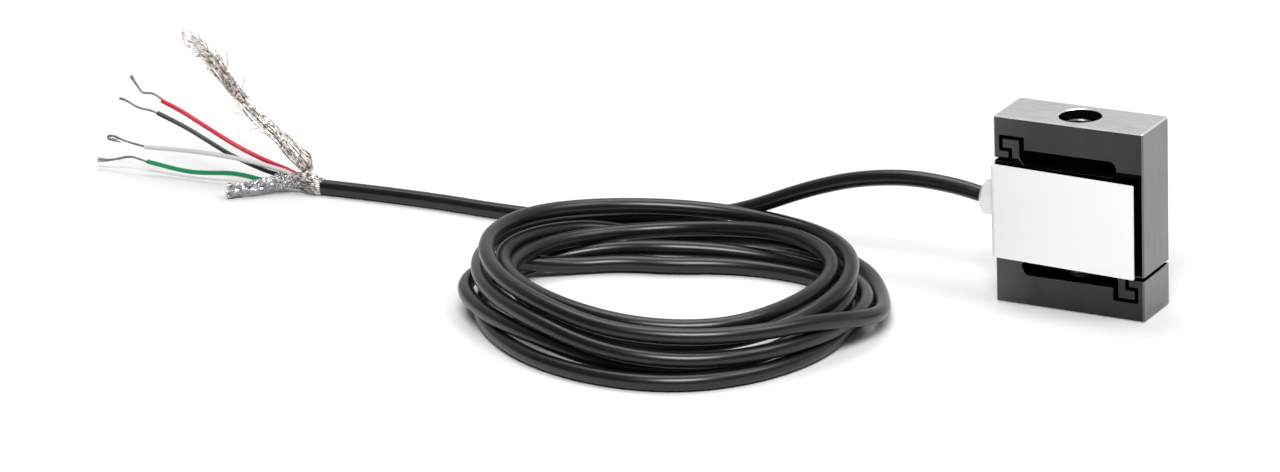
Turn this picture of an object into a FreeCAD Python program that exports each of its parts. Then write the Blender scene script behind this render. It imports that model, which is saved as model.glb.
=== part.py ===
import FreeCAD, Part
import math
import os
import Sketcher

Vector = FreeCAD.Vector
ALONG_X, ALONG_Y, ALONG_Z = Vector(1, 0, 0), Vector(0, 1, 0), Vector(0, 0, 1)

# An S-shaped load cell stands on its lower face with its load line on +Z.
# X runs across the S, from the cable side (-X) to the right, and Y through its thickness.

# ---------------------------------------------------------------- driving sizes, millimetres
sizes = {
    # the S-shaped spring element
    "blockWidth": 50.8,
    "blockHeight": 62.0,
    "blockThick": 19.4,
    "edgeBreak": 0.5,
    "armHeight": 10.25,
    "slotHeight": 5.35,
    "slotEndWall": 9.0,
    "slotCornerRound": 3.2,
    # the interlock that stops an overload: a hooked finger in a pocket, over a tooth
    "pocketSide": 1.9,
    "pocketReach": 10.5,
    "pocketTop": 6.15,
    "stopGap": 1.28,
    "fingerRight": 8.7,
    "fingerNeck": 6.35,
    "hookDepth": 2.75,
    "toothDepth": 2.2,
    # tapped load holes
    "threadBore": 10.2,
    "threadMouth": 14.2,
    # strain gauge window through the web
    "windowBore": 17.0,
    "windowSpacing": 23.4,
    "windowNeck": 8.0,
    "gaugeThick": 0.3,
    "gaugeSpan": 40.0,
    "gaugeWidth": 6.0,
    "pottingThick": 1.6,
    "boardLength": 8.0,
    "boardWidth": 11.0,
    "boardThick": 1.0,
    "chipLength": 3.2,
    "chipWidth": 1.6,
    "chipHeight": 0.7,
    "wireDia": 0.5,
    # folded cover
    "coverHeight": 30.6,
    "coverDrop": 0.2,
    "coverThick": 0.9,
    "coverEdgeMargin": 1.7,
    "coverBend": 1.6,
    "frontGapLeft": 0.6,
    "frontGapRight": 3.4,
    "rearGapLeft": 0.6,
    "rearGapRight": 1.3,
    "sealInset": 3.0,
    # cable gland in the left side
    "glandFlats": 11.0,
    "glandTurn": 22.0,
    "glandHexLength": 6.8,
    "glandChamfer": 1.9,
    "glandFaceDia": 8.8,
    "glandStemDia": 8.0,
    "glandStemLength": 6.2,
    "stemClearance": 0.05,
    "glandBore": 5.5,
    "glandLip": 3.0,
    "glandSealBore": 6.8,
    "glandSealLength": 4.0,
    "glandWasherDia": 10.6,
    "glandWasherThick": 0.5,
    # the cable and its parts
    "cableDia": 5.2,
    "coreDia": 1.5,
    "strandDia": 0.7,
    "coilAcross": 139.0,
    "coilAlong": 148.0,
    "coilHoleAcross": 93.0,
    "coilHoleAlong": 76.0,
    "coilHeight": 22.0,
    "coilTopRound": 5.0,
    "coilFootRound": 2.4,
    "coilTurn": 30.0,
    "coilX": -115.0,
    "coilY": -58.5,
    "coilHoleShift": -6.0,
    "braidDia": 4.6,
    "bunchDia": 6.4,
    "foilDia": 4.6,
}

doc = FreeCAD.newDocument("s_load_cell")
sheet = doc.addObject("Spreadsheet::Sheet", "Sizes")
for row, (name, value) in enumerate(sizes.items(), 1):
    sheet.set(f"A{row}", name)
    sheet.set(f"B{row}", str(value))
    sheet.setAlias(f"B{row}", name)
doc.recompute()

nodes = []


def keep(piece, label):
    """Give a finished sub-part its name and list it for export."""
    piece.Label = label
    nodes.append(piece)
    return piece


def along(terms):
    """Turn a signed sum of sizes, such as '-blockWidth/2 +pocketSide', into a number and an expression."""
    number, words = 0.0, []
    for term in terms.split():
        sign = -1 if term.startswith("-") else 1
        name, _, share = term.lstrip("+-").partition("/")
        number += sign * sizes[name] / float(share or 1)
        words.append(f"{'-' if sign < 0 else '+'} Sizes.{name}" + (f" / {share}" if share else ""))
    return number, " ".join(words).lstrip("+ ")


# ---------------------------------------------------------------- sketch helpers
def sketchOn(body, plane, name):
    sketch = body.newObject("Sketcher::SketchObject", name)
    sketch.AttachmentSupport = ([f for f in body.Origin.OriginFeatures if f.Role == plane][0], [""])
    sketch.MapMode = "FlatFace"
    return sketch


def fixPoint(sketch, edge, end, xTerms, yTerms):
    """Hold one end of an edge at a place given as two signed sums of sizes."""
    for kind, terms, axis in (("DistanceX", xTerms, -2), ("DistanceY", yTerms, -1)):
        number, expression = along(terms)
        if not terms:
            sketch.addConstraint(Sketcher.Constraint("PointOnObject", edge, end, axis))
            continue
        index = sketch.addConstraint(Sketcher.Constraint(kind, -1, 1, edge, end, number))
        label = f"{kind}{edge}_{end}"
        sketch.renameConstraint(index, label)
        sketch.setExpression(f"Constraints.{label}", expression)


def tangentArc(start, heading, finish):
    """The arc that leaves start along heading and ends at finish, with a flag for a clockwise one."""
    left = Vector(-heading.y, heading.x, 0)
    chord = finish - start
    radius = chord.dot(chord) / (2 * left.dot(chord))
    centre = start + left * radius
    first = math.atan2(start.y - centre.y, start.x - centre.x)
    last = math.atan2(finish.y - centre.y, finish.x - centre.x)
    clockwise = radius < 0
    if clockwise:
        first, last = last, first
    circle = Part.Circle(Vector(centre.x, centre.y, 0), ALONG_Z, abs(radius))
    return Part.ArcOfCircle(circle, first, last if last > first else last + 2 * math.pi), clockwise


def outline(sketch, corners):
    """A closed outline: each corner is (x sum, y sum), or (x sum, y sum, 'arc') where a tangent arc leaves it."""
    points = [Vector(along(c[0])[0], along(c[1])[0], 0) for c in corners]
    count = len(corners)
    ends = []
    for i, corner in enumerate(corners):
        start, finish = points[i], points[(i + 1) % count]
        if len(corner) == 3:
            heading = (start - points[i - 1]).normalize()
            arc, clockwise = tangentArc(start, heading, finish)
            sketch.addGeometry(arc)
            ends.append((2, 1) if clockwise else (1, 2))
        else:
            sketch.addGeometry(Part.LineSegment(start, finish))
            ends.append((1, 2))
    for i, corner in enumerate(corners):
        previous = (i - 1) % count
        join = "Tangent" if len(corner) == 3 else "Coincident"
        sketch.addConstraint(Sketcher.Constraint(join, previous, ends[previous][1], i, ends[i][0]))
        edge, end = (previous, ends[previous][1]) if len(corner) == 3 else (i, ends[i][0])
        fixPoint(sketch, edge, end, corner[0], corner[1])


def circle(sketch, xTerms, yTerms, diameter):
    """A circle whose centre is two sums of sizes and whose diameter is one size."""
    x, y = along(xTerms)[0], along(yTerms)[0]
    edge = sketch.addGeometry(Part.Circle(Vector(x, y, 0), ALONG_Z, sizes[diameter] / 2))
    fixPoint(sketch, edge, 3, xTerms, yTerms)
    index = sketch.addConstraint(Sketcher.Constraint("Diameter", edge, sizes[diameter]))
    sketch.renameConstraint(index, f"round{edge}")
    sketch.setExpression(f"Constraints.round{edge}", f"Sizes.{diameter}")


def newBody(name):
    return doc.addObject("PartDesign::Body", name)


def pad(body, sketch, length, symmetric=True, reverse=False):
    feature = body.newObject("PartDesign::Pad", sketch.Name + "Pad")
    feature.Profile = sketch
    feature.SideType = "Symmetric" if symmetric else "One side"
    feature.Reversed = reverse
    feature.Length = along(length)[0]
    feature.setExpression("Length", along(length)[1])
    doc.recompute()
    return feature


def pocketThrough(body, sketch):
    feature = body.newObject("PartDesign::Pocket", sketch.Name + "Pocket")
    feature.Profile = sketch
    feature.Type = "ThroughAll"
    feature.SideType = "Symmetric"
    doc.recompute()
    return feature


def spin(body, sketch, kind, axis):
    """Turn a sketch once round one of its own axes, to add or to remove material."""
    feature = body.newObject(f"PartDesign::{kind}", sketch.Name + kind)
    feature.Profile = sketch
    feature.ReferenceAxis = (sketch, [axis])
    feature.Angle = 360
    doc.recompute()
    return feature


# ---------------------------------------------------------------- spring element
def makeSpringElement():
    body = newBody("SpringElement")

    face = sketchOn(body, "XZ_Plane", "BlockFace")
    outline(face, [
        ("-blockWidth/2", ""), ("blockWidth/2", ""),
        ("blockWidth/2", "blockHeight"), ("-blockWidth/2", "blockHeight"),
    ])
    pad(body, face, "blockThick")

    # The upper cut, drawn from the block's centre: from the left side, round the hooked finger, into the slot.
    cut = sketchOn(body, "XZ_Plane", "SlotCut")
    cut.setExpression("AttachmentOffset.Base.y", "Sizes.blockHeight / 2")
    left, top = "-blockWidth/2", "blockHeight/2 "
    slotTop = top + "-armHeight"
    slotFloor = slotTop + " -slotHeight"
    hookFoot = top + "-pocketTop -stopGap -hookDepth"
    toothTop = hookFoot + " -stopGap"
    toothFoot = toothTop + " -toothDepth"
    outline(cut, [
        (left + " -stopGap", toothFoot), (left + " +fingerNeck -stopGap", toothFoot),
        (left + " +fingerNeck -stopGap", toothTop), (left + " +pocketSide", toothTop),
        (left + " +pocketSide", top + "-pocketTop"), (left + " +pocketReach", top + "-pocketTop"),
        (left + " +pocketReach", slotTop),
        ("blockWidth/2 -slotEndWall -slotHeight/2", slotTop, "arc"),
        ("blockWidth/2 -slotEndWall -slotHeight/2", slotFloor),
        (left + " +fingerRight +slotCornerRound", slotFloor, "arc"),
        (left + " +fingerRight", slotFloor + " +slotCornerRound"),
        (left + " +fingerRight", top + "-pocketTop -stopGap"),
        (left + " +pocketSide +stopGap", top + "-pocketTop -stopGap"),
        (left + " +pocketSide +stopGap", hookFoot), (left + " +fingerNeck", hookFoot),
        (left + " +fingerNeck", toothFoot + " -stopGap"), (left + " -stopGap", toothFoot + " -stopGap"),
    ])
    upperCut = pocketThrough(body, cut)

    # The tapped load hole with its countersunk mouth, turned about the load line.
    hole = sketchOn(body, "XZ_Plane", "LoadHole")
    hole.setExpression("AttachmentOffset.Base.y", "Sizes.blockHeight / 2")
    outline(hole, [
        ("", top + "+edgeBreak"), ("", slotTop + " -slotHeight/2"),
        ("threadBore/2", slotTop + " -slotHeight/2"), ("threadBore/2", top + "-threadMouth/2 +threadBore/2"),
        ("threadMouth/2", "blockHeight/2"), ("threadMouth/2", top + "+edgeBreak"),
    ])
    upperHole = spin(body, hole, "Groove", "V_Axis")

    # The lower arm is the upper one turned half round the block's centre.
    pattern = body.newObject("PartDesign::PolarPattern", "BothEnds")
    pattern.Originals = [upperCut, upperHole]
    pattern.Axis = (cut, ["N_Axis"])
    pattern.Angle = 360
    pattern.Occurrences = 2
    body.Tip = pattern
    doc.recompute()

    # The gauge window: two bores joined by a neck, through the web.
    window = sketchOn(body, "XZ_Plane", "GaugeWindow")
    window.setExpression("AttachmentOffset.Base.y", "Sizes.blockHeight / 2")
    circle(window, "-windowSpacing/2", "", "windowBore")
    pocketThrough(body, window)
    window = sketchOn(body, "XZ_Plane", "GaugeWindowRight")
    window.setExpression("AttachmentOffset.Base.y", "Sizes.blockHeight / 2")
    circle(window, "windowSpacing/2", "", "windowBore")
    pocketThrough(body, window)
    neck = sketchOn(body, "XZ_Plane", "WindowNeck")
    neck.setExpression("AttachmentOffset.Base.y", "Sizes.blockHeight / 2")
    outline(neck, [
        ("-windowSpacing/2", "-windowNeck/2"), ("windowSpacing/2", "-windowNeck/2"),
        ("windowSpacing/2", "windowNeck/2"), ("-windowSpacing/2", "windowNeck/2"),
    ])
    pocketThrough(body, neck)

    # The cable gland's hole runs from the left side into the window.
    entry = sketchOn(body, "XZ_Plane", "GlandHole")
    entry.setExpression("AttachmentOffset.Base.y", "Sizes.blockHeight / 2")
    outline(entry, [
        (left + " -edgeBreak", ""), ("-windowSpacing/2", ""),
        ("-windowSpacing/2", "glandStemDia/2 +stemClearance"),
        (left + " -edgeBreak", "glandStemDia/2 +stemClearance"),
    ])
    bored = spin(body, entry, "Groove", "H_Axis")

    # Broken edges on the four long sides of both faces and on the four upright corners.
    half, thick, height = sizes["blockWidth"] / 2, sizes["blockThick"] / 2, sizes["blockHeight"]

    def outer(edge):
        if len(edge.Vertexes) < 2:
            return False
        a, b = (v.Point for v in edge.Vertexes[:2])
        onSide = abs(abs(a.x) - half) < 1e-4 and abs(abs(b.x) - half) < 1e-4 and abs(a.x - b.x) < 1e-4
        onEnd = min(a.z, height - a.z) < 1e-4 and min(b.z, height - b.z) < 1e-4 and abs(a.z - b.z) < 1e-4
        onFace = abs(abs(a.y) - thick) < 1e-4 and abs(a.y - b.y) < 1e-4
        upright = onSide and onEnd
        return (onFace and (onSide or onEnd)) or upright

    breaks = body.newObject("PartDesign::Chamfer", "BrokenEdges")
    breaks.Base = (bored, [f"Edge{i}" for i, e in enumerate(bored.Shape.Edges, 1) if outer(e)])
    breaks.Size = sizes["edgeBreak"]
    breaks.setExpression("Size", "Sizes.edgeBreak")
    doc.recompute()
    return keep(body, "spring_element")


spring = makeSpringElement()


# ---------------------------------------------------------------- pieces in the gauge window
midHeight = sizes["blockHeight"] / 2


def bodyFrom(name, build):
    """A body whose features are added by build, kept under the given name."""
    body = newBody(name)
    build(body)
    doc.recompute()
    return keep(body, name)


def potting(side):
    """A plug of potting compound flush with one face of the block."""
    def build(body):
        for name, x in (("Left", "-windowSpacing/2"), ("Right", "windowSpacing/2")):
            sketch = sketchOn(body, "XZ_Plane", f"{side}Plug{name}")
            place(sketch)
            circle(sketch, x, "", "windowBore")
            pad(body, sketch, "pottingThick", symmetric=False, reverse=side == "Front")
        sketch = sketchOn(body, "XZ_Plane", f"{side}PlugNeck")
        place(sketch)
        outline(sketch, [
            ("-windowSpacing/2", "-windowNeck/2"), ("windowSpacing/2", "-windowNeck/2"),
            ("windowSpacing/2", "windowNeck/2"), ("-windowSpacing/2", "windowNeck/2"),
        ])
        pad(body, sketch, "pottingThick", symmetric=False, reverse=side == "Front")

    def place(sketch):
        sketch.setExpression("AttachmentOffset.Base.y", "Sizes.blockHeight / 2")
        sign = "" if side == "Front" else "-"
        sketch.setExpression("AttachmentOffset.Base.z", f"{sign}Sizes.blockThick / 2")

    return build


bodyFrom("front_potting", potting("Front"))
bodyFrom("rear_potting", potting("Rear"))


def bound(piece, **expressions):
    """Bind properties of a primitive to sums of sizes, given as words."""
    for name, words in expressions.items():
        piece.setExpression(name.replace("_", "."), words)


def gauge(label, xSign, start):
    """A foil gauge and its backing, bonded to the top or bottom of one bore of the window."""
    parts = []
    for name, radius in (("Outer", "Sizes.windowBore / 2"), ("Inner", "Sizes.windowBore / 2 - Sizes.gaugeThick")):
        drum = doc.addObject("Part::Cylinder", f"{label}_{name}")
        drum.Placement.Rotation = FreeCAD.Rotation(ALONG_X, 90).multiply(FreeCAD.Rotation(ALONG_Z, start))
        bound(drum, Radius=radius, Height="Sizes.gaugeWidth", Angle="Sizes.gaugeSpan")
        bound(drum, Placement_Base_x=f"{xSign}Sizes.windowSpacing / 2", Placement_Base_y="Sizes.gaugeWidth / 2")
        bound(drum, Placement_Base_z="Sizes.blockHeight / 2")
        parts.append(drum)
    piece = doc.addObject("Part::Cut", label)
    piece.Base, piece.Tool = parts
    doc.recompute()
    return keep(piece, label)


halfSpan = sizes["gaugeSpan"] / 2
gauge("gauge_upper_left", "-", 90 - halfSpan)
gauge("gauge_upper_right", "", 90 - halfSpan)
gauge("gauge_lower_left", "-", 270 - halfSpan)
gauge("gauge_lower_right", "", 270 - halfSpan)

board = doc.addObject("Part::Box", "terminal_board")
bound(board, Length="Sizes.boardLength", Width="Sizes.boardWidth", Height="Sizes.boardThick")
bound(board, Placement_Base_x="-Sizes.boardLength / 2", Placement_Base_y="-Sizes.boardWidth / 2")
bound(board, Placement_Base_z="Sizes.blockHeight / 2 - Sizes.windowNeck / 2")
keep(board, "terminal_board")

chip = doc.addObject("Part::Box", "compensation_resistor")
bound(chip, Length="Sizes.chipLength", Width="Sizes.chipWidth", Height="Sizes.chipHeight")
bound(chip, Placement_Base_x="-Sizes.chipLength / 2 + Sizes.coreDia / 2", Placement_Base_y="-Sizes.chipWidth / 2")
bound(chip, Placement_Base_z="Sizes.blockHeight / 2 - Sizes.windowNeck / 2 + Sizes.boardThick")
keep(chip, "compensation_resistor")


# ---------------------------------------------------------------- cover and its seals
coverLeft = "-blockWidth/2 -coverThick"
coverRight = "blockWidth/2 -coverEdgeMargin"
sideFoot = "Sizes.blockHeight / 2 - Sizes.coverHeight / 2 - Sizes.coverDrop"


def edgesAt(shape, xTerms, length):
    """The upright edges of a given length that stand at one x."""
    x = along(xTerms)[0]
    found = []
    for number, edge in enumerate(shape.Edges, 1):
        box = edge.BoundBox
        if abs(box.ZLength - length) < 1e-4 and box.XLength < 1e-4 and box.YLength < 1e-4 and abs(box.XMin - x) < 1e-4:
            found.append(f"Edge{number}")
    return found


def makeCover(body):
    plan = sketchOn(body, "XY_Plane", "CoverPlan")
    plan.setExpression("AttachmentOffset.Base.z", sideFoot)
    front, rear = "-blockThick/2 -", "blockThick/2 +"
    outline(plan, [
        (coverLeft, rear + "rearGapLeft +coverThick"), (coverLeft, front + "frontGapLeft -coverThick"),
        (coverRight, front + "frontGapRight -coverThick"), (coverRight, front + "frontGapRight"),
        ("-blockWidth/2", front + "frontGapLeft"), ("-blockWidth/2", rear + "rearGapLeft"),
        (coverRight, rear + "rearGapRight"), (coverRight, rear + "rearGapRight +coverThick"),
    ])
    folded = pad(body, plan, "coverHeight", symmetric=False)
    outside = body.newObject("PartDesign::Fillet", "OuterBends")
    outside.Base = (folded, edgesAt(folded.Shape, coverLeft, sizes["coverHeight"]))
    outside.Radius = sizes["coverBend"]
    outside.setExpression("Radius", "Sizes.coverBend")
    doc.recompute()
    inside = body.newObject("PartDesign::Fillet", "InnerBends")
    inside.Base = (outside, edgesAt(outside.Shape, "-blockWidth/2", sizes["coverHeight"]))
    inside.Radius = sizes["coverBend"] - sizes["coverThick"]
    inside.setExpression("Radius", "Sizes.coverBend - Sizes.coverThick")
    doc.recompute()
    hole = sketchOn(body, "YZ_Plane", "CoverHole")
    circle(hole, "", "blockHeight/2", "glandStemDia")
    pocketThrough(body, hole)


bodyFrom("cover", makeCover)


def share(gapLeft, gapRight, xTerms):
    """The gap under the sloping side of the cover at one x, as a number and an expression."""
    x, words = along(xTerms)
    run, runWords = along(coverRight + " +blockWidth/2")
    gap = sizes[gapLeft] + (sizes[gapRight] - sizes[gapLeft]) * (x + sizes["blockWidth"] / 2) / run
    rise = f"(Sizes.{gapRight} - Sizes.{gapLeft}) * ({words} + Sizes.blockWidth / 2) / ({runWords})"
    return gap, f"Sizes.{gapLeft} + {rise}"


def coverSeal(side):
    """The wedge of sealant between the block and one side of the cover."""
    def build(body):
        name = side.lower()
        sign = -1 if side == "Front" else 1
        sketch = sketchOn(body, "XY_Plane", f"{side}Wedge")
        sketch.setExpression("AttachmentOffset.Base.z", sideFoot + " + Sizes.sealInset")
        ends = [("-blockWidth/2 +sealInset", 0), (coverRight + " -sealInset", 0)]
        near = [Vector(along(x)[0], sign * sizes["blockThick"] / 2, 0) for x, _ in ends]
        gaps = [share(f"{name}GapLeft", f"{name}GapRight", x) for x, _ in ends]
        far = [p + Vector(0, sign * gap[0], 0) for p, gap in zip(near, gaps)]
        points = [near[0], near[1], far[1], far[0]]
        words = ["Sizes.blockThick / 2"] * 2 + [f"Sizes.blockThick / 2 + {gaps[i][1]}" for i in (1, 0)]
        for i in range(4):
            sketch.addGeometry(Part.LineSegment(points[i], points[(i + 1) % 4]))
        for i in range(4):
            sketch.addConstraint(Sketcher.Constraint("Coincident", (i - 1) % 4, 2, i, 1))
            for kind, number, text in (
                ("DistanceX", points[i].x, along(ends[i in (1, 2)][0])[1]),
                ("DistanceY", points[i].y, words[i] if sign > 0 else f"-({words[i]})"),
            ):
                index = sketch.addConstraint(Sketcher.Constraint(kind, -1, 1, i, 1, number))
                sketch.renameConstraint(index, f"{kind}{i}")
                sketch.setExpression(f"Constraints.{kind}{i}", text)
        block = pad(body, sketch, "coverHeight", symmetric=False)
        block.setExpression("Length", "Sizes.coverHeight - 2 * Sizes.sealInset")
        block.Length = sizes["coverHeight"] - 2 * sizes["sealInset"]
    return build


bodyFrom("front_cover_seal", coverSeal("Front"))
bodyFrom("rear_cover_seal", coverSeal("Rear"))


# ---------------------------------------------------------------- cable gland
hexFoot = "-blockWidth/2 -coverThick -glandWasherThick"


def makeGland(body):
    corner = sizes["glandFlats"] / 2 / math.cos(math.radians(30))
    foot = along(hexFoot)
    plan = sketchOn(body, "YZ_Plane", "GlandHex")
    plan.setExpression("AttachmentOffset.Base.z", foot[1])
    plan.setExpression("AttachmentOffset.Base.y", "Sizes.blockHeight / 2")
    turn = [math.radians(180 - sizes["glandTurn"] + 60 * i) for i in range(6)]
    tips = [Vector(corner * math.cos(a), corner * math.sin(a), 0) for a in turn]
    for i in range(6):
        plan.addGeometry(Part.LineSegment(tips[i], tips[(i + 1) % 6]))
    for i in range(6):
        plan.addConstraint(Sketcher.Constraint("Coincident", (i - 1) % 6, 2, i, 1))
        for kind, number, wave in (("DistanceX", tips[i].x, "cos"), ("DistanceY", tips[i].y, "sin")):
            index = plan.addConstraint(Sketcher.Constraint(kind, -1, 1, i, 1, number))
            plan.renameConstraint(index, f"{kind}{i}")
            text = f"Sizes.glandFlats / 2 / cos(30) * {wave}(180 - Sizes.glandTurn + {60 * i})"
            plan.setExpression(f"Constraints.{kind}{i}", text)
    pad(body, plan, "glandHexLength", symmetric=False, reverse=True)

    stem = sketchOn(body, "YZ_Plane", "GlandStem")
    stem.setExpression("AttachmentOffset.Base.z", foot[1])
    stem.setExpression("AttachmentOffset.Base.y", "Sizes.blockHeight / 2")
    circle(stem, "", "", "glandStemDia")
    pad(body, stem, "glandStemLength", symmetric=False)

    face = hexFoot + " -glandHexLength"
    crown = sketchOn(body, "XZ_Plane", "GlandCrown")
    crown.setExpression("AttachmentOffset.Base.y", "Sizes.blockHeight / 2")
    outline(crown, [
        (face, "glandFaceDia/2"), (face + " +glandChamfer", "glandFlats/2 +edgeBreak +edgeBreak"),
        (face + " +glandChamfer", "glandFlats"), (face + " -edgeBreak", "glandFlats"),
        (face + " -edgeBreak", "glandFaceDia/2"),
    ])
    spin(body, crown, "Groove", "H_Axis")

    bore = sketchOn(body, "XZ_Plane", "GlandBore")
    bore.setExpression("AttachmentOffset.Base.y", "Sizes.blockHeight / 2")
    outline(bore, [
        (face + " -edgeBreak", ""), (hexFoot + " +glandStemLength +edgeBreak", ""),
        (hexFoot + " +glandStemLength +edgeBreak", "glandSealBore/2"),
        (face + " +glandLip", "glandSealBore/2"), (face + " +glandLip", "glandBore/2"),
        (face + " -edgeBreak", "glandBore/2"),
    ])
    spin(body, bore, "Groove", "H_Axis")


def ringOn(name, footTerms, length, outer, inner):
    """A plain ring round the gland's axis."""
    def build(body):
        for size, kind in ((outer, "Pad"), (inner, "Pocket")):
            sketch = sketchOn(body, "YZ_Plane", f"{name}{kind}")
            sketch.setExpression("AttachmentOffset.Base.z", along(footTerms)[1])
            sketch.setExpression("AttachmentOffset.Base.y", "Sizes.blockHeight / 2")
            circle(sketch, "", "", size)
            if kind == "Pad":
                pad(body, sketch, length, symmetric=False)
            else:
                pocketThrough(body, sketch)
    return build


bodyFrom("gland_body", makeGland)
washerFoot = "-blockWidth/2 -coverThick -glandWasherThick"
bodyFrom("gland_washer", ringOn("Washer", washerFoot, "glandWasherThick", "glandWasherDia", "glandStemDia"))
sealFoot = hexFoot + " -glandHexLength +glandLip"
bodyFrom("gland_seal", ringOn("Seal", sealFoot, "glandSealLength", "glandSealBore", "cableDia"))


# ---------------------------------------------------------------- cable, cores, braid and foil
def tubePath(points):
    """Straight runs joined by tangent arcs, each arc as large as its two runs allow."""
    edges, radii, last = [], [], points[0]
    for before, here, after in zip(points, points[1:], points[2:]):
        back, ahead = (before - here), (after - here)
        shorter = min(back.Length, ahead.Length) * 0.45
        half = (math.pi - back.getAngle(ahead)) / 2
        back.normalize()
        ahead.normalize()
        start, finish = here + back * shorter, here + ahead * shorter
        radius = shorter / math.tan(half)
        middle = (back + ahead).normalize() * (radius / math.cos(half) - radius) + here
        edges.append(Part.LineSegment(last, start).toShape())
        edges.append(Part.Arc(start, middle, finish).toShape())
        radii.append(radius)
        last = finish
    edges.append(Part.LineSegment(last, points[-1]).toShape())
    return Part.Wire(edges), radii


def tube(name, points, diameter):
    """A round tube along the points; its volume is compared with its section times its length."""
    route, radii = tubePath([Vector(*p) for p in points])
    start = route.Edges[0]
    profile = Part.Wire(Part.makeCircle(diameter / 2, start.valueAt(start.FirstParameter), start.tangentAt(start.FirstParameter)))
    solid = route.makePipeShell([profile], True, False)
    plain = math.pi * diameter ** 2 / 4 * route.Length
    words = f"length {route.Length:.1f} radii {[round(r, 1) for r in radii]} volume ratio {solid.Volume / plain:.4f}"
    print("tube", name, words)
    return solid


def fixed(name, shape):
    """A sub-part whose route is hand laid."""
    piece = doc.addObject("Part::Feature", name)
    piece.Shape = shape
    return keep(piece, name)


def makeCoil(body):
    """The flat oval coil that the loose cable lies in."""
    for name, across, length, shift in (
        ("CoilOutside", "coilAcross", "coilAlong", None), ("CoilInside", "coilHoleAcross", "coilHoleAlong", "coilHoleShift"),
    ):
        sketch = sketchOn(body, "XY_Plane", name)
        sketch.AttachmentOffset = FreeCAD.Placement(Vector(), FreeCAD.Rotation(ALONG_Z, sizes["coilTurn"]))
        sketch.setExpression("AttachmentOffset.Base.x", "Sizes.coilX")
        sketch.setExpression("AttachmentOffset.Base.y", "Sizes.coilY")
        low = sizes[shift] if shift else 0.0
        minor, major = sorted((sizes[across] / 2, sizes[length] / 2))
        wide = sizes[across] > sizes[length]
        centre = Vector(0, low, 0)
        tips = (Vector(major, low, 0), Vector(0, low + minor, 0)) if wide else (Vector(0, low + major, 0), Vector(-minor, low, 0))
        sketch.addGeometry(Part.Ellipse(tips[0], tips[1], centre))
        sketch.exposeInternalGeometry(0)
        for line, size in ((1, length if not wide else across), (2, across if not wide else length)):
            index = sketch.addConstraint(Sketcher.Constraint("Distance", line, sizes[size]))
            sketch.renameConstraint(index, f"axis{line}")
            sketch.setExpression(f"Constraints.axis{line}", f"Sizes.{size}")
        sketch.addConstraint(Sketcher.Constraint("Horizontal" if wide else "Vertical", 1))
        sketch.addConstraint(Sketcher.Constraint("PointOnObject", 0, 3, -2))
        if shift:
            index = sketch.addConstraint(Sketcher.Constraint("DistanceY", -1, 1, 0, 3, low))
            sketch.renameConstraint(index, "shift")
            sketch.setExpression("Constraints.shift", f"Sizes.{shift}")
        else:
            sketch.addConstraint(Sketcher.Constraint("PointOnObject", 0, 3, -1))
        if name == "CoilOutside":
            solid = pad(body, sketch, "coilHeight", symmetric=False)
        else:
            solid = pocketThrough(body, sketch)
    for name, z, size in (("CoilTop", sizes["coilHeight"], "coilTopRound"), ("CoilFoot", 0, "coilFootRound")):
        edges = [
            f"Edge{i}" for i, e in enumerate(solid.Shape.Edges, 1)
            if abs(e.BoundBox.ZMin - z) < 1e-4 and abs(e.BoundBox.ZMax - z) < 1e-4
        ]
        rounds = body.newObject("PartDesign::Fillet", name)
        rounds.Base = (solid, edges)
        rounds.Radius = sizes[size]
        rounds.setExpression("Radius", f"Sizes.{size}")
        doc.recompute()
        solid = rounds


coil = bodyFrom("cable_coil", makeCoil)

entryX = along("-blockWidth/2")[0]
leadRoute = [
    (entryX + 5.9, 0, midHeight), (entryX - 13.1, 0, midHeight), (entryX - 32.2, 0.2, 34.1),
    (-74.5, 1.4, 31.8), (-90, 2.4, 27.1), (-104, 2.6, 21.1), (-116, 1.4, 15.2), (-127, -1.6, 10.4),
]
tailRoute = [(-150.5, 2.6, 2.7), (-178, -1.0, 2.7), (-208.6, -3.6, 2.7), (-247.5, -2.3, 2.7), (-283.1, -5.4, 2.7)]
lead = tube("cable_lead", leadRoute, sizes["cableDia"]).cut(coil.Shape)
tail = tube("cable_tail", tailRoute, sizes["cableDia"]).cut(coil.Shape)
fixed("cable_lead", lead)
fixed("cable_tail", tail)

# The braid is bunched at the jacket's end and drawn up to one side.
tailEnd, beforeEnd = Vector(*tailRoute[-1]), Vector(*tailRoute[-2])
onward = (tailEnd - beforeEnd).normalize()
bunch = Part.makeCylinder(sizes["bunchDia"] / 2, 11, tailEnd + Vector(0, 0, 0.5), onward)
bunch = bunch.makeFillet(1.4, [e for e in bunch.Edges if e.Length > 15])
braidRoute = [
    (-287.5, -4.6, 3.2), (-289.5, -4.4, 10.5), (-296, -5, 18), (-304.5, -6, 25),
    (-312, -7, 33), (-320, -8, 42.5), (-328.5, -8.8, 49.5),
]
braid = tube("braid_shield", braidRoute, sizes["braidDia"]).fuse(bunch).removeSplitter()
fixed("braid_shield", braid)

foilRoute = [(-291, -5.3, 2.8), (-297.5, -6.2, 2.5), (-303.5, -11.2, 2.4), (-310.9, -18.7, 2.4)]
foil = tube("foil_shield", foilRoute, sizes["foilDia"]).cut(braid)
fixed("foil_shield", foil)

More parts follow.
